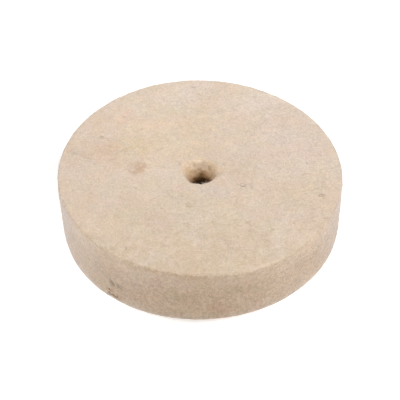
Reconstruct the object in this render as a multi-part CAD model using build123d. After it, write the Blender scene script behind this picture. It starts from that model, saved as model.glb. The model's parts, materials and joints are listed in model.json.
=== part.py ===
from build123d import *
import os

# A felt polishing wheel: one thick disc cut from a block of pressed wool felt, with a plain
# central bore that slides onto a machine's spindle. It holds no bush, plate, cord or fastener.
# Millimetres. The wheel lies flat. +Z runs along the bore, towards the wider face, and the
# origin is on the bore's axis, halfway through the thickness.

# Driving dimensions
WHEEL_DIAMETER = 100.0      # at the wider face, before its edge is rounded
THICKNESS = 24.0            # from flange face to flange face
BORE_DIAMETER = 10.0        # for a 10 mm spindle
RIM_DRAFT = 1.0             # how much the radius shrinks on the way down: thick felt gives under the cutter
OUTER_EDGE_RADIUS = 1.0     # the felt's rubbed outer edges
BORE_LIP_RADIUS = 1.7       # the soft, funnelled mouths of the bore

# Worked out from them
upper_radius = WHEEL_DIAMETER / 2
lower_radius = upper_radius - RIM_DRAFT
bore_radius = BORE_DIAMETER / 2
half_thickness = THICKNESS / 2


def half_section():
    """The felt on one side of the axis: a four-sided outline, its rim leaning in towards the lower face."""
    with BuildSketch(Plane.XZ) as section:
        with BuildLine():
            Polyline(
                (bore_radius, -half_thickness),
                (lower_radius, -half_thickness),
                (upper_radius, half_thickness),
                (bore_radius, half_thickness),
                close=True,
            )
        make_face()
        corners = section.vertices().sort_by(Axis.X)
        fillet(corners[:2], BORE_LIP_RADIUS)
        outer_corners = section.vertices().sort_by(Axis.X)[-2:]
        fillet(outer_corners, OUTER_EDGE_RADIUS)
    return section.sketch


def felt_wheel():
    """The whole disc, turned once around the bore's axis."""
    return revolve(half_section(), axis=Axis.Z)


os.makedirs("parts", exist_ok=True)
export_step(felt_wheel(), "parts/felt_wheel.step")
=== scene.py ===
import json
import math
import random

import bpy
import numpy as np
from mathutils import Euler, Matrix, Vector, noise


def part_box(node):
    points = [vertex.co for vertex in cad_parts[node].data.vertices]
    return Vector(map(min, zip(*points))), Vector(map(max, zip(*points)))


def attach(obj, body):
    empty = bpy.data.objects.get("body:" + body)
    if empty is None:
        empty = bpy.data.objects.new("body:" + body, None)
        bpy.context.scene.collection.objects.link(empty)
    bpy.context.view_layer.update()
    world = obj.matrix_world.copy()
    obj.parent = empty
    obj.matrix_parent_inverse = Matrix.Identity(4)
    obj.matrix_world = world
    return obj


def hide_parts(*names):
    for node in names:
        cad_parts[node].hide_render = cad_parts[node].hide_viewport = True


# The looks of a felt polishing wheel: a thick disc of pressed wool felt that lies flat on a pale floor.
# Metres. The wheel's own frame has +Z along the bore, and the camera looks from the -Y side.
# A place is a distance along the outline of the wheel's section, and a turn is an angle about the bore.

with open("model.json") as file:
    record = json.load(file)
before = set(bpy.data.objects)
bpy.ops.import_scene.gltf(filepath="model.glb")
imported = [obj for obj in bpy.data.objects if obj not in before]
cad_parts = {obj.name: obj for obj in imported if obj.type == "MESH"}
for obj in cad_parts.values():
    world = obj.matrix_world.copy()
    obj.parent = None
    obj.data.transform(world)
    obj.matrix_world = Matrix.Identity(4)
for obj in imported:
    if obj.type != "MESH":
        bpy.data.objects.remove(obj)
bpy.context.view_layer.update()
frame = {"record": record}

MM = 0.001

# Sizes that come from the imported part
low_corner, high_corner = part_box("felt_wheel")
bore_mount = next(mount for mount in frame["record"]["mounts"] if mount["name"] == "bore")
wheel_radius = high_corner.x
upper_z = high_corner.z
lower_z = low_corner.z
thickness = upper_z - lower_z
bore_radius = bore_mount["dims"]["r_mm"] * MM
bore_lip_radius = (thickness - bore_mount["dims"]["length_mm"] * MM) / 2

# Sizes that repeat part.py's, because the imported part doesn't state them
EDGE_RADIUS = 1.0 * MM
RIM_DRAFT = 1.0 * MM

# How far this wheel is from a true disc
FACE_SLOPE_X = -0.0238          # the upper face's rise per metre towards +X: the left side is thicker
FACE_SLOPE_Y = 0.0135           # and towards +Y
WAVE_HEIGHT = 0.12 * MM         # long, low waves in the faces and rim
WAVE_LENGTH = 34 * MM
LUMP_HEIGHT = 0.075 * MM        # clumps of wool under the surface
LUMP_LENGTH = 6.5 * MM
MAT_HEIGHT = 0.06 * MM          # the matted surface itself
MAT_LENGTH = 1.6 * MM
LIP_HEIGHT = 0.30 * MM          # the ragged mouths of the bore
LIP_LENGTH = 2.4 * MM
LIP_REACH = 2.2 * MM

# The body's mesh, kept under 200,000 triangles
TURN_STEPS = 504
UPPER_FACE_STEP = 0.62 * MM
LOWER_FACE_STEP = 0.90 * MM
RIM_STEP = 0.62 * MM
BORE_STEP = 1.10 * MM
ARC_STEP = 0.35 * MM


# ---------------------------------------------------------------- the wheel's section

def corner_arc(corner, before, after, radius):
    """Centre, start angle and turn of the arc that rounds one corner of an anticlockwise outline."""
    way_in = (corner - before).normalized()
    way_out = (after - corner).normalized()
    bend = way_out.angle_signed(way_in)
    inward = Vector((-way_in.y, way_in.x))
    centre = corner - way_in * radius * math.tan(bend / 2) + inward * radius
    return centre, math.atan2(-inward.y, -inward.x), bend


def section_outline():
    """The rounded section of the felt, as rows of radius, height and the two parts of the outward normal."""
    upper_radius = wheel_radius + EDGE_RADIUS * RIM_DRAFT / thickness
    corners = [
        Vector((bore_radius, lower_z)),
        Vector((upper_radius - RIM_DRAFT, lower_z)),
        Vector((upper_radius, upper_z)),
        Vector((bore_radius, upper_z)),
    ]
    radii = [bore_lip_radius, EDGE_RADIUS, EDGE_RADIUS, bore_lip_radius]
    run_steps = [LOWER_FACE_STEP, RIM_STEP, UPPER_FACE_STEP, BORE_STEP]
    arcs = [corner_arc(corners[i], corners[i - 1], corners[(i + 1) % 4], radii[i]) for i in range(4)]
    rows = []
    for i, (centre, first_angle, bend) in enumerate(arcs):
        arc_parts = max(4, round(radii[i] * bend / ARC_STEP))
        for k in range(arc_parts + 1):
            angle = first_angle + bend * k / arc_parts
            way = Vector((math.cos(angle), math.sin(angle)))
            rows.append((*(centre + way * radii[i]), *way))
        next_centre, next_angle, _ = arcs[(i + 1) % 4]
        way = Vector((math.cos(next_angle), math.sin(next_angle)))
        run_end = next_centre + way * radii[(i + 1) % 4]
        run_start = Vector(rows[-1][:2])
        run_parts = max(2, round((run_end - run_start).length / run_steps[i]))
        for k in range(1, run_parts):
            rows.append((*run_start.lerp(run_end, k / run_parts), *way))
    return np.array(rows)


outline = section_outline()
outline_closed = np.vstack([outline, outline[:1]])
outline_steps = np.linalg.norm(np.diff(outline_closed[:, :2], axis=0), axis=1)
outline_place = np.concatenate([[0], np.cumsum(outline_steps)])
outline_length = outline_place[-1]


def along_outline(place):
    """Radius, height and the two parts of the outward normal at places along the outline."""
    wrapped = np.mod(place, outline_length)
    return [np.interp(wrapped, outline_place, outline_closed[:, k]) for k in range(4)]


def radius_at(place):
    """The outline's radius at one place."""
    return float(np.interp(place % outline_length, outline_place, outline_closed[:, 0]))


def place_of(radius, height):
    """The place of the outline's point nearest to a radius and height."""
    gaps = np.hypot(outline[:, 0] - radius, outline[:, 1] - height)
    return outline_place[int(np.argmin(gaps))]


upper_edge = place_of(wheel_radius, upper_z)
lower_edge = place_of(wheel_radius - RIM_DRAFT, lower_z)
upper_lip = place_of(bore_radius, upper_z)
lower_lip = place_of(bore_radius, lower_z)


def rim_place(level):
    """The place on the rim at a level, from -0.5 at the lower edge to 0.5 at the upper."""
    return lower_edge + (level + 0.5) * (upper_edge - lower_edge)


def near(place, middle, reach):
    """1 at a place, falling smoothly to 0 within about twice the reach."""
    return np.exp(-(((place - middle) / reach) ** 2))


def facing(turn, angle):
    """1 on the side of the wheel at an angle in degrees, falling smoothly to 0 on the opposite side."""
    return 0.5 + 0.5 * np.cos(turn - math.radians(angle))


# ---------------------------------------------------------------- the felt's surface

# The upper edge is rolled over towards the rim at the front right, at a turn in degrees. The narrowing sets
# how quickly the roll fades to both sides.
ROLLED_TURN = -68
ROLL_NARROWING = 40
ROLL_DEPTH = 1.0 * MM           # how far the face's colour reaches down over the roll, ahead of the rim's grime and painted shade
ROLL_REACH = 5 * MM             # how far from the edge the shift of the rim's grime and painted shade fades
GRIME_AND_SHADE_OVER_EDGE = 0.35 * MM     # how far the rim's grime and painted shade reach over the edge onto the face
GRIME_AND_SHADE_FADE = 0.8 * MM           # and over what half width it fades

# How far the outer edges are rubbed back
UPPER_RUB = 0.08 * MM
ROLLED_RUB = 0.22 * MM          # on top of that, where the upper edge is rolled over
UPPER_RUB_REACH = 2.2 * MM
LOWER_RUB = 0.25 * MM
LOWER_RUB_REACH = 2.0 * MM

# Where the bore's upper mouth is worn back: the turn in degrees, the narrowing to it, and in millimetres how
# far past the lip the wear is deepest, its reach and its depth. The last is the wide funnel at the back.
MOUTH_WEAR = [
    (172, 4, 1.6, 2.0, 0.25),
    (8, 4, 1.6, 2.0, 0.55),
    (90, 2, 0.0, 3.1, 0.85),
]

# Nicks and pits in the rim: the angle round the wheel in degrees, the level, the length and width in
# millimetres, the tilt in degrees and the depth in millimetres.
NICKS = [
    (-128.6, -0.13, 3.3, 0.95, -52, 0.78),
    (-125, -0.14, 1.6, 0.60, -35, 0.18),
    (-120, 0.28, 1.1, 0.60, -20, 0.25),
    (-107.5, 0.03, 0.9, 0.60, 40, 0.30),
    (-101.5, -0.12, 0.9, 0.70, -10, 0.30),
    (-68.5, -0.22, 1.1, 0.75, 60, 0.35),
    (-65.8, -0.12, 0.8, 0.55, 0, 0.25),
    (-54.5, 0.33, 1.1, 0.75, 10, 0.35),
    (-41.8, 0.35, 0.9, 0.65, 70, 0.30),
    (-12, -0.15, 1.2, 0.60, 30, 0.30),
    (35, 0.05, 1.6, 0.70, 30, 0.35),
    (74, 0.22, 0.9, 0.60, -10, 0.30),
    (118, -0.20, 1.4, 0.80, -50, 0.35),
    (160, 0.22, 1.2, 0.70, 15, 0.30),
]


def noise_at(points, length, octaves=1, shift=0.0):
    """Smooth noise from about -1 to 1, with features of the given length, at rows of points."""
    scaled = points / length + shift
    if octaves == 1:
        return np.array([noise.noise(Vector(point)) for point in scaled])
    return np.array([noise.fractal(Vector(point), 1.0, 2.0, octaves) for point in scaled])


def edge_rub(place, turn):
    """How far the outer edges are rubbed back, most where the upper edge is rolled over."""
    rolled = ROLLED_RUB * facing(turn, ROLLED_TURN) ** ROLL_NARROWING
    upper = near(place, upper_edge, UPPER_RUB_REACH) * (UPPER_RUB + rolled)
    return upper + near(place, lower_edge, LOWER_RUB_REACH) * LOWER_RUB


def cut_share(place, turn):
    """1 on the rim, with its grime and painted shade, and 0 on the faces, fading over the edges between
    them.
    """
    roll = ROLL_DEPTH * facing(turn, ROLLED_TURN) ** ROLL_NARROWING - GRIME_AND_SHADE_OVER_EDGE
    roll = roll * near(place, upper_edge, ROLL_REACH)
    shifts = [roll + GRIME_AND_SHADE_FADE * side for side in (-1, -0.5, 0, 0.5, 1)]
    shares = [1 - np.abs(along_outline(place + shift)[3]) for shift in shifts]
    radius = along_outline(place)[0]
    return np.mean(shares, axis=0) * (radius > wheel_radius / 2)


def mouth_wear(place, turn):
    """How far the bore's upper mouth is worn back at each point."""
    depth = np.zeros_like(turn)
    for angle, narrowing, past_lip, reach, deepest in MOUTH_WEAR:
        at_depth = near(place, upper_lip + past_lip * MM, reach * MM)
        depth += deepest * MM * at_depth * facing(turn, angle) ** narrowing
    return depth


def nick_depth(turn, radius, height):
    """How deep the nicks in the rim are at each point."""
    depth = np.zeros_like(turn)
    for angle, level, length, width, tilt, deepest in NICKS:
        gap = np.angle(np.exp(1j * (turn - math.radians(angle))))
        across = gap * radius
        up = height - level * thickness
        lean = math.radians(tilt)
        along_nick = (across * math.cos(lean) + up * math.sin(lean)) / (length / 2 * MM)
        over_nick = (up * math.cos(lean) - across * math.sin(lean)) / (width / 2 * MM)
        depth += deepest * MM * np.exp(-(along_nick**2) - over_nick**2)
    return depth * (radius > wheel_radius / 2)


def felt_surface(place, turn):
    """Points on the felt's real surface, the normals of the true disc there, and the depth of nicks."""
    radius, height, normal_r, normal_z = along_outline(place)
    flat = np.stack([radius * np.cos(turn), radius * np.sin(turn), height], axis=1)
    normals = np.stack([normal_r * np.cos(turn), normal_r * np.sin(turn), normal_z], axis=1)
    at_lips = near(place, upper_lip, LIP_REACH) + near(place, lower_lip, LIP_REACH)
    nicks = nick_depth(turn, radius, height)
    rise = WAVE_HEIGHT * noise_at(flat, WAVE_LENGTH, shift=7.3)
    rise += LUMP_HEIGHT * noise_at(flat, LUMP_LENGTH, shift=2.1)
    rise += MAT_HEIGHT * noise_at(flat, MAT_LENGTH, octaves=2)
    rise += LIP_HEIGHT * at_lips * noise_at(flat, LIP_LENGTH, shift=4.7)
    rise -= edge_rub(place, turn) + mouth_wear(place, turn) + nicks
    points = flat + normals * rise[:, None]
    level = (points[:, 2] - lower_z) / thickness
    points[:, 2] += level * (FACE_SLOPE_X * points[:, 0] + FACE_SLOPE_Y * points[:, 1])
    return points, normals, nicks


def make_piece(name, points, faces, material, **numbers):
    """A smooth-shaded mesh with numbers on its vertices that its material can read."""
    mesh = bpy.data.meshes.new(name)
    mesh.from_pydata(points, [], faces)
    mesh.materials.append(material)
    mesh.shade_smooth()
    for key, values in numbers.items():
        mesh.attributes.new(key, "FLOAT", "POINT").data.foreach_set("value", np.asarray(values, np.float32))
    piece = bpy.data.objects.new(name, mesh)
    bpy.context.scene.collection.objects.link(piece)
    return piece


def ring_faces(rows, columns):
    """Quads of a grid that closes on itself both ways."""
    row = np.arange(rows)[:, None]
    column = np.arange(columns)[None, :]
    next_row = (row + 1) % rows
    next_column = (column + 1) % columns
    corners = [
        row * columns + column,
        row * columns + next_column,
        next_row * columns + next_column,
        next_row * columns + column,
    ]
    return np.stack(corners, axis=-1).reshape(-1, 4)


def felt_body(material):
    """The whole disc as one closed skin."""
    rows = len(outline)
    place = np.repeat(outline_place[:-1], TURN_STEPS)
    turn = np.tile(np.arange(TURN_STEPS) * 2 * math.pi / TURN_STEPS, rows)
    points, _, nicks = felt_surface(place, turn)
    cut = cut_share(place, turn)
    faces = ring_faces(rows, TURN_STEPS)
    return make_piece("felt_body", points.tolist(), faces.tolist(), material, cut_face=cut, nick=nicks / MM)


# ---------------------------------------------------------------- fibres

FIBRE_STEP = 0.32 * MM          # from one point of a fibre to the next
FIBRE_LIFT = 0.03 * MM          # how far above the felt a lying fibre's middle is
FIBRE_WIDTHS = (0.035 * MM, 0.07 * MM)
FIBRE_BEND = 0.34               # the spread of a fibre's bend at each step, in radians
BEND_DRIFT = 0.07               # how much that bend drifts at each step
FIBRE_JITTER = 0.25             # and how much the heading jitters
TIP_RISES = (0.3, 1.0)          # how high a standing tip reaches, against the highest in its region
TIP_CURVE = 1.5                 # 1 would be a straight rise to the tip
END_WIDTH = 0.25                # a thread's width at its ends, against its middle
LOOP_STEPS = 16                 # the points in one loop of a stray thread
STRAY_LIFT = 0.14 * MM          # how far above the felt a stray thread's middle runs
STRAY_SWING = 0.06 * MM         # and how far it rises and falls


def stray_threads():
    """Stray dark threads: place, turn in degrees, the loops' radius in millimetres and their number, the
    drift in millimetres, tint, and width in millimetres.
    """
    return [
        (rim_place(-0.40), -132.0, 0.50, 3.0, 5.6, -1.0, 0.21),
        (rim_place(-0.31), -131.2, 0.35, 1.2, 1.4, -0.8, 0.18),
        (place_of(17.7 * MM, upper_z), -107, 0.90, 1.3, 1.8, 0.0, 0.16),
        (place_of(44.9 * MM, upper_z), -17, 0.95, 1.2, 1.8, 0.0, 0.16),
        (place_of(17.0 * MM, upper_z), -26, 1.00, 1.3, 1.2, 0.04, 0.16),
        (place_of(40.0 * MM, upper_z), 151, 0.90, 1.2, 1.8, 0.0, 0.16),
    ]


def looped_path(place, angle, loop_radius, loops, drift):
    """A thread that loops as it runs round the wheel: rows of place, turn and height above the felt."""
    steps = round(loops * LOOP_STEPS)
    path = []
    for k in range(steps + 1):
        swing = k / steps * loops * 2 * math.pi
        along = drift * k / steps + loop_radius * math.sin(swing)
        up = loop_radius * (1 - math.cos(swing))
        lift = STRAY_LIFT + STRAY_SWING * math.sin(1.5 * swing)
        path.append((place + up * MM, math.radians(angle) + along * MM / radius_at(place), lift))
    return path


def fibre_paths(chooser, count, places, turns, lengths, standing, rise):
    """Curly fibres strewn over the felt: rows of place, turn and height above the felt."""
    paths = []
    for _ in range(count):
        place = chooser.uniform(*places)
        if chooser.random() > radius_at(place) / wheel_radius:
            continue
        turn = math.radians(chooser.uniform(*turns))
        heading = chooser.uniform(-math.pi, math.pi)
        curl = chooser.gauss(0, FIBRE_BEND)
        parts = max(3, round(chooser.uniform(*lengths) / FIBRE_STEP))
        tip_rise = chooser.uniform(*TIP_RISES) * rise if chooser.random() < standing else 0
        path = []
        for k in range(parts + 1):
            share = k / parts
            lift = FIBRE_LIFT * math.sin(math.pi * share) + tip_rise * share**TIP_CURVE
            path.append((place, turn, lift))
            heading += curl + chooser.gauss(0, FIBRE_JITTER)
            curl += chooser.gauss(0, BEND_DRIFT)
            place += FIBRE_STEP * math.cos(heading)
            turn += FIBRE_STEP * math.sin(heading) / max(radius_at(place), bore_radius)
        paths.append(path)
    return paths


def fibre_mesh(name, paths, tints, widths, material):
    """Thin three-sided threads that follow the paths and taper to their ends."""
    spots = np.array([spot for path in paths for spot in path])
    lines, normals, _ = felt_surface(spots[:, 0], spots[:, 1])
    lines = lines + normals * spots[:, 2:3]
    points = []
    faces = []
    vertex_tints = []
    first = 0
    for path, tint, width in zip(paths, tints, widths):
        count = len(path)
        line = lines[first:first + count]
        up = normals[first:first + count]
        first += count
        ahead = np.gradient(line, axis=0)
        side = np.cross(up, ahead)
        side /= np.linalg.norm(side, axis=1)[:, None]
        over = np.cross(ahead, side)
        over /= np.linalg.norm(over, axis=1)[:, None]
        half = width / 2 * np.clip(np.sin(math.pi * np.linspace(0, 1, count)) + END_WIDTH, 0, 1)[:, None]
        base = len(points)
        for k in range(3):
            angle = math.pi / 2 + k * 2 * math.pi / 3
            points.extend((line + (side * math.cos(angle) + over * math.sin(angle)) * half).tolist())
        starts = [base + k * count for k in range(3)]
        for here, there in zip(starts, starts[1:] + starts[:1]):
            faces.extend((here + i, here + i + 1, there + i + 1, there + i) for i in range(count - 1))
        faces.append(tuple(reversed(starts)))
        faces.append(tuple(start + count - 1 for start in starts))
        vertex_tints.extend([tint] * (3 * count))
    return make_piece(name, points, faces, material, tint=vertex_tints)


def at_lip(start, end):
    """Two places, in millimetres past the bore's upper lip."""
    return (upper_lip + start * MM, upper_lip + end * MM)


def fibre_regions():
    """Where fibres are strewn.

    Each row is the number tried, the two places between which they start, the two turns in degrees, the
    shortest and longest in millimetres, the share that stand up and how high they reach in millimetres.
    """
    all_round = (-180, 180)
    on_upper_face = (upper_edge - 1.0 * MM, upper_lip + 1.0 * MM)
    on_lower_face = (lower_lip + 1.5 * MM, lower_edge - 1.5 * MM)
    return {
        "fibres_upper_face": (9000, on_upper_face, all_round, (0.9, 2.8), 0.22, 0.40),
        "fibres_rim": (5400, (rim_place(-0.48), rim_place(0.48)), all_round, (0.9, 2.8), 0.25, 0.45),
        "fibres_lower_face": (6000, on_lower_face, all_round, (0.9, 2.8), 0.0, 0.0),
        "fibres_bore_mouth": (900, at_lip(-1.6, 2.4), all_round, (0.8, 2.2), 0.6, 0.7),
        "wisps_at_bore": (60, at_lip(-0.2, 1.6), (-140, -88), (1.2, 2.6), 0.8, 1.1),
        "tuft_at_bore": (160, at_lip(-0.3, 0.8), (-78, -70), (0.9, 1.5), 1.0, 1.0),
    }


# ---------------------------------------------------------------- materials

SPOT_RAGGEDNESS = 0.5           # how ragged a spot's edge is, against its reach


class Nodes:
    """Short ways to build one material's nodes."""

    def __init__(self, name):
        self.material = bpy.data.materials.new(name)
        self.material.use_nodes = True
        self.tree = self.material.node_tree
        self.shader = self.tree.nodes["Principled BSDF"]
        self.place = self.add("ShaderNodeTexCoord").outputs["Object"]
        self.place_parts = self.add("ShaderNodeSeparateXYZ")
        self.feed(self.place_parts.inputs[0], self.place)

    def add(self, kind, **settings):
        """A new node with its settings."""
        node = self.tree.nodes.new(kind)
        for name, value in settings.items():
            setattr(node, name, value)
        return node

    def feed(self, socket, value):
        """Links a socket to another, or gives it a plain value."""
        if isinstance(value, bpy.types.NodeSocket):
            self.tree.links.new(value, socket)
        else:
            socket.default_value = value

    def maths(self, operation, first, second=0.0):
        """The result of one sum on numbers."""
        node = self.add("ShaderNodeMath", operation=operation)
        self.feed(node.inputs[0], first)
        self.feed(node.inputs[1], second)
        return node.outputs[0]

    def vector_maths(self, operation, first, second=(0.0, 0.0, 0.0), output="Vector"):
        """The result of one sum on vectors or colours."""
        node = self.add("ShaderNodeVectorMath", operation=operation)
        self.feed(node.inputs[0], first)
        self.feed(node.inputs[1], second)
        return node.outputs[output]

    def attribute(self, name):
        """The numbers of that name on the mesh's vertices."""
        return self.add("ShaderNodeAttribute", attribute_name=name).outputs["Fac"]

    def along(self, axis):
        """How far along one of the wheel's axes a point is."""
        return self.place_parts.outputs[axis]

    def noise(self, length, detail=2.0, distortion=0.0, shift=0.0):
        """Noise whose features are about the given length across."""
        node = self.add("ShaderNodeTexNoise")
        self.feed(node.inputs["Vector"], self.vector_maths("ADD", self.place, (shift, shift * 0.7, -shift)))
        node.inputs["Scale"].default_value = 1 / length
        node.inputs["Detail"].default_value = detail
        node.inputs["Distortion"].default_value = distortion
        return node.outputs["Fac"]

    def fit(self, value, start, end, low=0.0, high=1.0):
        """A smooth step: low where value is at start, high where it is at end."""
        node = self.add("ShaderNodeMapRange", interpolation_type="SMOOTHSTEP")
        node.inputs["From Min"].default_value = start
        node.inputs["From Max"].default_value = end
        node.inputs["To Min"].default_value = low
        node.inputs["To Max"].default_value = high
        self.feed(node.inputs["Value"], value)
        return node.outputs[0]

    def threads(self, length, width, shift):
        """Thin curly lines: the places where swirling noise crosses its middle value."""
        swirl = self.noise(length, detail=1.0, distortion=1.6, shift=shift)
        return self.fit(self.maths("ABSOLUTE", self.maths("SUBTRACT", swirl, 0.5)), width, 0.0)

    def mix(self, factor, first, second):
        """A mix of two colours."""
        node = self.add("ShaderNodeMix", data_type="RGBA")
        colour_inputs = [socket for socket in node.inputs if socket.type == "RGBA"]
        self.feed(node.inputs["Factor"], factor)
        self.feed(colour_inputs[0], first)
        self.feed(colour_inputs[1], second)
        return next(socket for socket in node.outputs if socket.type == "RGBA")

    def scale(self, colour, factor):
        """A colour made lighter or darker by a number or a tint."""
        return self.vector_maths("MULTIPLY", colour, factor)

    def spot(self, centre, reach):
        """1 at a centre, falling to 0 at the reach given for each axis, with a ragged edge."""
        offset = self.vector_maths("SUBTRACT", self.place, centre)
        distance = self.vector_maths("LENGTH", self.vector_maths("DIVIDE", offset, reach), output="Value")
        wobble = self.noise(max(min(reach) * 0.6, 0.6 * MM), detail=3.0, shift=centre[0] * 3)
        wobble = self.fit(wobble, 0.2, 0.8, -SPOT_RAGGEDNESS, SPOT_RAGGEDNESS)
        return self.fit(self.maths("ADD", distance, wobble), 1.0, 0.1)

    def raise_bumps(self, height, strength, distance):
        """Bumps on the shader's surface. A height of 1 stands for the distance."""
        bump = self.add("ShaderNodeBump")
        bump.inputs["Strength"].default_value = strength
        bump.inputs["Distance"].default_value = distance
        self.feed(bump.inputs["Height"], height)
        self.feed(self.shader.inputs["Normal"], bump.outputs[0])


def rgb(red, green, blue):
    """An opaque colour, in linear light."""
    return (red, green, blue, 1.0)


CREAM = rgb(0.690, 0.560, 0.443)
DARK_WOOL = rgb(0.43, 0.335, 0.25)
PALE_WOOL = rgb(0.79, 0.65, 0.53)
STRAY_BROWN = rgb(0.15, 0.085, 0.04)
# A painted light on the bore's back lip
LIP_LIGHT_COLOUR = rgb(0.89, 0.73, 0.555)
# Browned wool with painted shade deep in the bore, then a near-black painted shadow
BORE_BROWN_AND_SHADE = rgb(0.42, 0.23, 0.08)
BORE_PAINTED_SHADOW = rgb(0.06, 0.03, 0.010)
# Brown painted shade inside the nicks
NICK_SHADE_BROWN = rgb(0.21, 0.14, 0.075)

# What the wool's red, green and blue are multiplied by: over the rim for its grime and painted shade, at its
# foot
# # for painted light from the floor, at its left and right sides for painted sheen, then round the bore's
# mouth,
# # on its wall, and further down the wall for painted light
RIM_GRIME_AND_SHADE_TINT = (0.635, 0.580, 0.520)
FOOT_FLOOR_LIGHT_TINT = (1.04, 1.12, 1.24)
SIDE_SHEEN_TINT = (0.94, 0.98, 1.12)
MOUTH_TINT = (1.0, 0.94, 0.83)
WALL_TINT = (0.79, 0.73, 0.64)
DEEP_WALL_LIGHT_TINT = (1.60, 1.67, 1.76)

# How strongly the threads, flecks, the rim's grime and painted shade, the painted shade in the nicks, and
# the bore's
# # colours, painted light and painted shade show, as shares
DARK_THREAD_SHARE = 0.20
PALE_THREAD_SHARE = 0.17
FINE_THREAD_SHARE = 0.17
FACE_FLECK_SHARE = 0.22
RIM_FLECK_SHARE = 0.36
UPPER_GRIME_AND_SHADE = 0.72              # the grime and painted shade at the rim's upper edge, against 1 at its foot
RIM_GRAIN = 0.13                # how much lighter and darker the rim's grain is
NICK_SHADE_SHARE = 0.86
BROWN_AND_SHADE_SHARE = 0.90
PAINTED_SHADOW_SHARE = 0.92
LIP_LIGHT_SHARE = 0.85

# Where the painted floor light on the rim's foot and the painted sheen on its sides begin and are full,
# against
# # half the thickness and the wheel's radius
FOOT_FLOOR_LIGHT_SPAN = (0.62, 1.0)
SIDE_SHEEN_SPAN = (0.84, 0.97)

# Where each of the bore's colours and its painted light and shade begins and is full: out from its straight
# # wall, then below the nearer face
INSIDE_SPAN = (1.2 * MM, 0.3 * MM)
MOUTH_SPAN = (3.6 * MM, 0.9 * MM)
WALL_SPAN = (0.4 * MM, 2.4 * MM)
DEEP_WALL_LIGHT_SPAN = (3.0 * MM, 7.0 * MM)
BROWN_AND_SHADE_SPAN = (3.0 * MM, 6.0 * MM)
PAINTED_SHADOW_SPAN = (4.3 * MM, 7.2 * MM)
BORE_RAGGEDNESS = 1.2 * MM      # how ragged their edges are
SHADOW_PEAK_X = 0.6 * MM         # the brown and painted shade in the bore reach highest here, just right of the middle
WALL_LEFT = 1.13                # the wall's painted light on its left and painted shade on its right
WALL_RIGHT = 0.90
FRONT_MOUTH = 0.1               # how strong the mouth's tint is at the front, against 1 at the back

# A painted light on the worn back of the bore's mouth, whose slope faces the front
LIP_LIGHT_CENTRE = (0.0, bore_radius + 0.6 * MM, upper_z - 2.4 * MM)
LIP_LIGHT_REACH = (5.0 * MM, 2.5 * MM, 3.6 * MM)

# How high the fine fuzz, the coarse fuzz and the threads stand, against the bumps' distance
FINE_FUZZ = 1.4
COARSE_FUZZ = 0.8
THREAD_RISE = 0.25

# How the wool's colour varies: the patches' length in metres, the spread of red, green and blue, and the
# noise's shift. Large patches differ most in how yellow they are, and small ones in how light they are.
COLOUR_VARIATION = [
    (26 * MM, (0.014, 0.024, 0.040), 0.9),
    (11 * MM, (0.014, 0.022, 0.034), 0.35),
    (14 * MM, (0.008, 0.000, -0.018), 1.9),
    (8 * MM, (0.009, -0.008, 0.002), 0.3),
    (5.5 * MM, (0.010, 0.004, -0.015), 2.7),
    (4 * MM, (0.020, 0.022, 0.026), 1.7),
    (1.9 * MM, (0.011, 0.012, 0.014), 1.3),
    (1.3 * MM, (0.003, 0.001, -0.004), 0.65),
    (0.9 * MM, (0.046, 0.050, 0.056), 0.77),
    (0.42 * MM, (0.078, 0.086, 0.095), 0.19),
]

# Marks on the upper face, among them a painted shade along the front and a painted light along the back:
# place
# # and half size in millimetres, the colour they give cream wool, and strength.
FACE_MARKS_AND_PAINTED_LIGHT = [
    ((-22.3, 3.6), (4.2, 5.0), rgb(0.50, 0.30, 0.18), 0.64),
    ((-33, 10), (18, 7), rgb(0.62, 0.41, 0.27), 0.28),
    ((-28, 29), (9, 6), rgb(0.72, 0.50, 0.36), 0.34),
    ((-17, 25), (9, 5), rgb(0.73, 0.53, 0.40), 0.28),
    ((-44, 10), (3.4, 2.0), rgb(0.42, 0.42, 0.34), 0.36),
    ((-1.5, 45.3), (1.3, 0.7), rgb(0.24, 0.15, 0.12), 0.38),
    ((-7, 4.5), (1.0, 1.5), rgb(0.52, 0.32, 0.27), 0.50),
    ((4, -24.5), (0.5, 1.8), rgb(0.33, 0.27, 0.19), 0.40),
    ((-25.5, -37), (0.5, 1.2), rgb(0.33, 0.27, 0.19), 0.45),
    ((-7.5, -8), (3.6, 3.0), rgb(0.76, 0.52, 0.42), 0.34),
    ((7.5, -5.5), (2.6, 3.0), rgb(0.76, 0.54, 0.38), 0.34),
    ((-33, -9), (3.5, 3.5), rgb(0.60, 0.54, 0.36), 0.26),
    ((-7, 33), (5, 4), rgb(0.62, 0.54, 0.38), 0.24),
    # A painted shade, darker and warmer, along the front of the face
    ((0, -54), (75, 36), rgb(0.61, 0.475, 0.33), 0.72),
    ((4, -9.5), (8, 4.5), rgb(0.65, 0.55, 0.49), 0.50),
    ((-23, 14), (12, 8), rgb(0.66, 0.52, 0.33), 0.45),
    ((-14, -24), (8, 6), rgb(0.62, 0.47, 0.40), 0.40),
    ((22, 38), (15, 9), rgb(0.71, 0.61, 0.53), 0.35),
    # A painted light, paler and cooler, along the back of the face
    ((2, 52), (80, 34), rgb(0.77, 0.635, 0.52), 0.55),
    ((-10, 19), (31, 25), rgb(0.765, 0.61, 0.435), 0.45),
    ((-36, 14), (18, 26), rgb(0.71, 0.54, 0.42), 0.30),
    ((-5, -20), (38, 19), rgb(0.675, 0.58, 0.455), 0.40),
    ((31, 15), (22, 26), rgb(0.705, 0.57, 0.485), 0.50),
]

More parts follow.
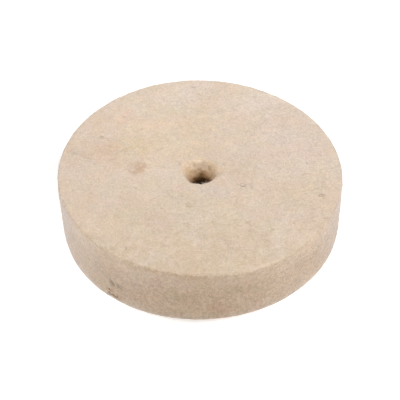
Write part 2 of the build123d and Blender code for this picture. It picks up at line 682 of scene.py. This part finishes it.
# Marks on the rim, among them painted shade at its front left and front right: turn in degrees, level, half
# size
# # in millimetres, the colour they give cream wool, and strength.
RIM_MARKS_AND_PAINTED_SHADE = [
    (-130.3, -0.33, 2.1, rgb(0.72, 0.38, 0.20), 0.85),
    (-126.0, -0.36, 2.6, rgb(0.66, 0.42, 0.29), 0.50),
    (-125.5, -0.13, 2.4, rgb(0.30, 0.23, 0.15), 0.56),
    (-109, 0.24, 4.5, rgb(0.60, 0.41, 0.33), 0.42),
    (-101, 0.00, 4.5, rgb(0.46, 0.42, 0.29), 0.42),
    (-85, -0.22, 5.0, rgb(0.58, 0.40, 0.33), 0.42),
    (-76, 0.10, 4.5, rgb(0.50, 0.44, 0.30), 0.36),
    (-48, 0.05, 5.0, rgb(0.60, 0.43, 0.34), 0.36),
    # Painted shade on the rim's front left and front right, where the side lights fall off
    (-130, -0.10, 17.0, rgb(0.62, 0.485, 0.365), 0.60),
    (-37, 0.0, 14.0, rgb(0.63, 0.50, 0.385), 0.50),
]


def wool_mottle(n):
    """Cream wool whose hue and lightness vary in large and small patches."""
    colour = CREAM[:3]
    for length, spreads, shift in COLOUR_VARIATION:
        patches = n.fit(n.noise(length, detail=1.0, shift=shift), 0.28, 0.72)
        darkest = rgb(*[1 - spread for spread in spreads])
        lightest = rgb(*[1 + spread for spread in spreads])
        colour = n.scale(colour, n.mix(patches, darkest, lightest))
    return colour


def tinted_at_spot(n, colour, spot, spot_colour, strength):
    """The colour, tinted where the spot is as the spot's colour would tint cream wool: for stains, painted
    light and painted shade.
    """
    tint = [spot_part / cream_part for spot_part, cream_part in zip(spot_colour[:3], CREAM[:3])]
    return n.mix(n.maths("MULTIPLY", spot, strength), colour, n.scale(colour, tint))


def marked_and_painted(n, colour):
    """The colour with the wheel's stains, and the painted light and shade among its marks, over it."""
    for (x, y), (reach_x, reach_y), spot_colour, strength in FACE_MARKS_AND_PAINTED_LIGHT:
        spot = n.spot((x * MM, y * MM, upper_z), (reach_x * MM, reach_y * MM, 5 * MM))
        colour = tinted_at_spot(n, colour, spot, spot_colour, strength)
    for angle, level, reach, spot_colour, strength in RIM_MARKS_AND_PAINTED_SHADE:
        way = Matrix.Rotation(math.radians(angle), 3, "Z") @ Vector((wheel_radius - RIM_DRAFT / 2, 0, 0))
        spot = n.spot((way.x, way.y, level * thickness), (reach * MM, reach * MM, reach * 0.8 * MM))
        colour = tinted_at_spot(n, colour, spot, spot_colour, strength)
    return colour


def bore_darkened(n, colour):
    """The colour with a warm mouth, a painted light on its worn back lip, a wall painted lighter on the left
    and darker on the right, painted light further down the wall, and browned wool with brown and near-black
    painted shade in its depth.
    """
    radial = n.vector_maths("LENGTH", n.vector_maths("MULTIPLY", n.place, (1.0, 1.0, 0.0)), output="Value")
    past_wall = n.maths("SUBTRACT", radial, bore_radius)
    inside = n.fit(past_wall, *INSIDE_SPAN)
    ragged = n.fit(n.noise(2.5 * MM, shift=0.37), 0.2, 0.8, -BORE_RAGGEDNESS, BORE_RAGGEDNESS)
    depth = n.maths("ADD", n.maths("SUBTRACT", upper_z, n.maths("ABSOLUTE", n.along("Z"))), ragged)
    # The brown and near-black deep in the bore are painted shade, highest just right of the middle and
    # deeper to the sides, as the side lights' shadow is
    sideways = n.maths("ABSOLUTE", n.maths("SUBTRACT", n.along("X"), SHADOW_PEAK_X))
    shadow_depth = n.maths("SUBTRACT", depth, sideways)
    towards_back = n.fit(n.along("Y"), -3.0 * MM, 2.0 * MM, FRONT_MOUTH, 1.0)
    mouth = n.maths("MULTIPLY", n.fit(past_wall, *MOUTH_SPAN), towards_back)
    wall = n.maths("MULTIPLY", inside, n.fit(depth, *WALL_SPAN))
    # Painted light on the bore's left wall, which the right light reaches, and painted shade on its right
    # wall
    lit_left_shaded_right = n.fit(n.along("X"), -3.5 * MM, 3.5 * MM, WALL_LEFT, WALL_RIGHT)
    # Painted light on the bore wall further down, which makes it paler
    deep_wall_light = n.maths("MULTIPLY", inside, n.fit(depth, *DEEP_WALL_LIGHT_SPAN))
    brown_and_shade = n.maths("MULTIPLY", inside, n.fit(shadow_depth, *BROWN_AND_SHADE_SPAN, 0.0, BROWN_AND_SHADE_SHARE))
    painted_shadow = n.maths("MULTIPLY", inside, n.fit(shadow_depth, *PAINTED_SHADOW_SPAN, 0.0, PAINTED_SHADOW_SHARE))
    # A painted light on the back of the bore's mouth
    lip_light = n.spot(LIP_LIGHT_CENTRE, LIP_LIGHT_REACH)
    colour = n.mix(mouth, colour, n.scale(colour, MOUTH_TINT))
    colour = n.mix(wall, colour, n.scale(n.scale(colour, WALL_TINT), lit_left_shaded_right))
    colour = n.mix(deep_wall_light, colour, n.scale(colour, DEEP_WALL_LIGHT_TINT))
    colour = n.mix(n.maths("MULTIPLY", lip_light, LIP_LIGHT_SHARE), colour, LIP_LIGHT_COLOUR)
    return n.mix(painted_shadow, n.mix(brown_and_shade, colour, BORE_BROWN_AND_SHADE), BORE_PAINTED_SHADOW)


def threaded(n, colour, cut, dark_threads, pale_threads):
    """The colour with curly threads and flecks in it, the flecks stronger on the cut rim."""
    fine_threads = n.threads(0.6 * MM, width=0.06, shift=0.83)
    flecks = n.fit(n.noise(0.55 * MM, detail=1.0, shift=0.41), 0.58, 0.76)
    fleck_share = n.fit(cut, 0.0, 1.0, FACE_FLECK_SHARE, RIM_FLECK_SHARE)
    colour = n.mix(n.maths("MULTIPLY", dark_threads, DARK_THREAD_SHARE), colour, DARK_WOOL)
    colour = n.mix(n.maths("MULTIPLY", pale_threads, PALE_THREAD_SHARE), colour, PALE_WOOL)
    colour = n.mix(n.maths("MULTIPLY", fine_threads, FINE_THREAD_SHARE), colour, DARK_WOOL)
    return n.mix(n.maths("MULTIPLY", flecks, fleck_share), colour, DARK_WOOL)


def rim_grime_and_painted_light(n, colour, cut):
    """The colour with the rim's grime and painted shade, painted floor light on its foot, painted sheen on
    its sides, and brown painted shade in its nicks.
    """
    # The rim's darker tint is grime and painted shade, and it grows darker towards the foot.
    grime_and_shade = n.maths("MULTIPLY", cut, n.fit(n.along("Z"), upper_z * 0.05, upper_z * 0.95, 1.0, UPPER_GRIME_AND_SHADE))
    grain = n.fit(n.noise(1.1 * MM, detail=2.0, shift=0.47), 0.3, 0.7, 1 - RIM_GRAIN, 1 + RIM_GRAIN)
    # Painted light from the white floor, paler and bluer, on the rim's foot
    floor_light = n.maths("MULTIPLY", cut, n.fit(n.along("Z"), *[lower_z * share for share in FOOT_FLOOR_LIGHT_SPAN]))
    # Painted sheen, paler and bluer, on the rim's left and right sides, where it is seen edge-on
    sideways = n.maths("ABSOLUTE", n.along("X"))
    side = n.maths("MULTIPLY", cut, n.fit(sideways, *[wheel_radius * share for share in SIDE_SHEEN_SPAN]))
    # Brown painted shade inside the nicks
    nick_shade = n.fit(n.attribute("nick"), 0.05, 0.45, 0.0, NICK_SHADE_SHARE)
    colour = n.mix(grime_and_shade, colour, n.scale(n.scale(colour, RIM_GRIME_AND_SHADE_TINT), grain))
    colour = n.mix(floor_light, colour, n.scale(colour, FOOT_FLOOR_LIGHT_TINT))
    colour = n.mix(side, colour, n.scale(colour, SIDE_SHEEN_TINT))
    return n.mix(nick_shade, colour, NICK_SHADE_BROWN)


def felt_height(n, dark_threads, pale_threads):
    """How high the matted wool stands: fine and coarse fuzz, pale threads raised and dark ones sunk."""
    coarse = n.maths("MULTIPLY", n.noise(1.1 * MM, detail=1.0, shift=0.5), COARSE_FUZZ)
    height = n.maths("MULTIPLY", n.noise(0.5 * MM, detail=3.0, shift=0.6), FINE_FUZZ)
    height = n.maths("ADD", height, coarse)
    height = n.maths("ADD", height, n.maths("MULTIPLY", pale_threads, THREAD_RISE))
    return n.maths("SUBTRACT", height, n.maths("MULTIPLY", dark_threads, THREAD_RISE))


def felt_material():
    """Pressed wool: mottled cream with curly threads, flecks, stains, a grimy rim and a browned bore,
    both with painted light and shade.
    """
    n = Nodes("felt")
    ragged = n.fit(n.noise(1.4 * MM, shift=0.73), 0.3, 0.7, -0.14, 0.14)
    cut = n.fit(n.maths("ADD", n.attribute("cut_face"), ragged), 0.15, 0.9)
    dark_threads = n.threads(1.1 * MM, width=0.045, shift=0.11)
    pale_threads = n.threads(1.0 * MM, width=0.045, shift=0.57)
    colour = threaded(n, wool_mottle(n), cut, dark_threads, pale_threads)
    colour = rim_grime_and_painted_light(n, marked_and_painted(n, colour), cut)
    n.feed(n.shader.inputs["Base Color"], bore_darkened(n, colour))
    n.feed(n.shader.inputs["Roughness"], n.fit(n.noise(1.5 * MM, shift=0.23), 0.3, 0.7, 0.84, 0.97))
    n.shader.inputs["Specular IOR Level"].default_value = 0.2
    n.shader.inputs["Sheen Weight"].default_value = 0.65
    n.shader.inputs["Sheen Roughness"].default_value = 0.30
    n.shader.inputs["Sheen Tint"].default_value = rgb(0.92, 0.95, 1.0)
    n.raise_bumps(felt_height(n, dark_threads, pale_threads), strength=0.85, distance=0.12 * MM)
    return n.material


def fibre_material():
    """Single wool fibres, near the felt's own colour, with a few stray ones dark."""
    n = Nodes("wool_fibre")
    tint = n.attribute("tint")
    along = n.noise(1.2 * MM, shift=0.2)
    colour = n.mix(n.fit(tint, 0.0, 0.2), DARK_WOOL, CREAM)
    colour = n.mix(n.fit(tint, 0.4, 1.0), colour, PALE_WOOL)
    colour = n.mix(n.fit(along, 0.35, 0.7, 0.1, 0.6), colour, CREAM)
    colour = n.mix(n.fit(tint, 0.0, -1.0), colour, STRAY_BROWN)
    n.feed(n.shader.inputs["Base Color"], colour)
    n.feed(n.shader.inputs["Roughness"], n.fit(along, 0.3, 0.7, 0.7, 0.9))
    n.shader.inputs["Specular IOR Level"].default_value = 0.2
    n.shader.inputs["Sheen Weight"].default_value = 0.3
    n.shader.inputs["Sheen Roughness"].default_value = 0.4
    n.raise_bumps(along, strength=0.3, distance=0.02 * MM)
    return n.material


# The floor glows a little, as a light table does, but not under the wheel, and it glows more far away. Each
# span is where the glow begins and is full, in wheel radii from the middle.
FLOOR_GLOW = 0.33
FLOOR_GLOW_SPAN = (0.90, 0.97)
FAR_GLOW = 0.75
FAR_GLOW_SPAN = (8, 24)


def floor_material():
    """A plain matt white sheet with its two glows."""
    n = Nodes("white_floor")
    n.feed(n.shader.inputs["Base Color"], n.fit(n.noise(40 * MM), 0.3, 0.7, 0.90, 0.92))
    n.shader.inputs["Roughness"].default_value = 0.9
    n.shader.inputs["Specular IOR Level"].default_value = 0.1
    radii_out = n.maths("DIVIDE", n.vector_maths("LENGTH", n.place, output="Value"), wheel_radius)
    near_glow = n.fit(radii_out, *FLOOR_GLOW_SPAN, 0.0, FLOOR_GLOW)
    glow = n.maths("ADD", near_glow, n.fit(radii_out, *FAR_GLOW_SPAN, 0.0, FAR_GLOW))
    n.shader.inputs["Emission Color"].default_value = rgb(1.0, 1.0, 1.0)
    n.feed(n.shader.inputs["Emission Strength"], glow)
    return n.material


# ---------------------------------------------------------------- stage, light and camera

FLOOR_HALF = 3.0                # half the floor's side
SWEEP_GLOW = 1.0                # the white sweep round the stage, seen low down
SWEEP_TOP = 0.13                # how high it reaches, as the sine of the angle above the floor
ROOM_GLOW = 0.02                # the dim room above it

# Round soft boxes that face the wheel: the angles round it and above the floor in degrees, and the watts.
LIGHTS = {
    "right_box": (7, 31, 21.3),
    "left_box": (166, 32, 17.6),
    "front_box": (-90, 35, 11.0),
}
LIGHT_DISTANCE = 1.5
LIGHT_SIZE = 0.75

CAMERA_DISTANCE = 0.70
CAMERA_ELEVATION = math.radians(43.48)
CAMERA_ROLL = math.radians(-1.34)
CAMERA_LENS = 177.6             # the focal length and the sensor's width in millimetres
SENSOR_WIDTH = 36
NEAR_CLIP = 0.01
FAR_CLIP = 20
AIM_RIGHT = -0.22 * MM          # how far beside and above the wheel's centre the camera is aimed
AIM_UP = -1.01 * MM

FIBRE_SEED = 20


def make_floor(level):
    """A square floor under the wheel, at a level."""
    corners = [(x, y, level) for x, y in ((-1, -1), (1, -1), (1, 1), (-1, 1))]
    corners = [(x * FLOOR_HALF, y * FLOOR_HALF, z) for x, y, z in corners]
    make_piece("floor", corners, [(0, 1, 2, 3)], floor_material())


def make_world():
    """A white sweep all round the stage, in a dim room."""
    world = bpy.data.worlds.new("studio")
    bpy.context.scene.world = world
    world.use_nodes = True
    tree = world.node_tree
    direction = tree.nodes.new("ShaderNodeTexCoord")
    parts = tree.nodes.new("ShaderNodeSeparateXYZ")
    strength = tree.nodes.new("ShaderNodeMapRange")
    strength.interpolation_type = "SMOOTHSTEP"
    strength.inputs["From Min"].default_value = SWEEP_TOP / 2
    strength.inputs["From Max"].default_value = SWEEP_TOP
    strength.inputs["To Min"].default_value = SWEEP_GLOW
    strength.inputs["To Max"].default_value = ROOM_GLOW
    background = tree.nodes["Background"]
    background.inputs["Color"].default_value = rgb(1.0, 1.0, 1.0)
    tree.links.new(direction.outputs["Generated"], parts.inputs[0])
    tree.links.new(parts.outputs["Z"], strength.inputs["Value"])
    tree.links.new(strength.outputs[0], background.inputs["Strength"])


def make_light(name, angle, height_angle, power):
    """A round soft box that faces the wheel."""
    light = bpy.data.lights.new(name, "AREA")
    light.shape = "DISK"
    light.size = LIGHT_SIZE
    light.energy = power
    away = Vector((LIGHT_DISTANCE, 0, 0))
    away.rotate(Euler((0, -math.radians(height_angle), math.radians(angle))))
    lamp = bpy.data.objects.new(name, light)
    lamp.location = away
    lamp.rotation_euler = (-away).to_track_quat("-Z", "Y").to_euler()
    bpy.context.scene.collection.objects.link(lamp)


def make_camera():
    """A long lens from the -Y side, aimed a little off the wheel's centre."""
    data = bpy.data.cameras.new("camera")
    data.lens = CAMERA_LENS
    data.sensor_width = SENSOR_WIDTH
    data.clip_start = NEAR_CLIP
    data.clip_end = FAR_CLIP
    back = Vector((0, -math.cos(CAMERA_ELEVATION), math.sin(CAMERA_ELEVATION)))
    facing_wheel = (-back).to_track_quat("-Z", "Y").to_matrix()
    place = back * CAMERA_DISTANCE + facing_wheel @ Vector((AIM_RIGHT, AIM_UP, 0))
    turned = (facing_wheel @ Matrix.Rotation(CAMERA_ROLL, 3, "Z")).to_4x4()
    camera = bpy.data.objects.new("camera", data)
    camera.matrix_world = Matrix.Translation(place) @ turned
    bpy.context.scene.collection.objects.link(camera)
    bpy.context.scene.camera = camera


# ---------------------------------------------------------------- put it together

make_camera()
make_world()
for name, (angle, height_angle, power) in LIGHTS.items():
    make_light(name, angle, height_angle, power)
bpy.context.scene.view_settings.view_transform = "Standard"

body = felt_body(felt_material())
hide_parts("felt_wheel")
pieces = [body]

wool = fibre_material()
chooser = random.Random(FIBRE_SEED)
for name, (count, places, turns, lengths, standing, rise) in fibre_regions().items():
    lengths_m = [length * MM for length in lengths]
    paths = fibre_paths(chooser, count, places, turns, lengths_m, standing, rise * MM)
    tints = [chooser.random() for _ in paths]
    widths = [chooser.uniform(*FIBRE_WIDTHS) for _ in paths]
    pieces.append(fibre_mesh(name, paths, tints, widths, wool))

strays = stray_threads()
paths = [looped_path(*loop) for *loop, _, _ in strays]
tints = [tint for *_, tint, _ in strays]
widths = [width * MM for *_, width in strays]
pieces.append(fibre_mesh("stray_threads", paths, tints, widths, wool))

for piece in pieces:
    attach(piece, "root")

make_floor(min(vertex.co.z for vertex in body.data.vertices))
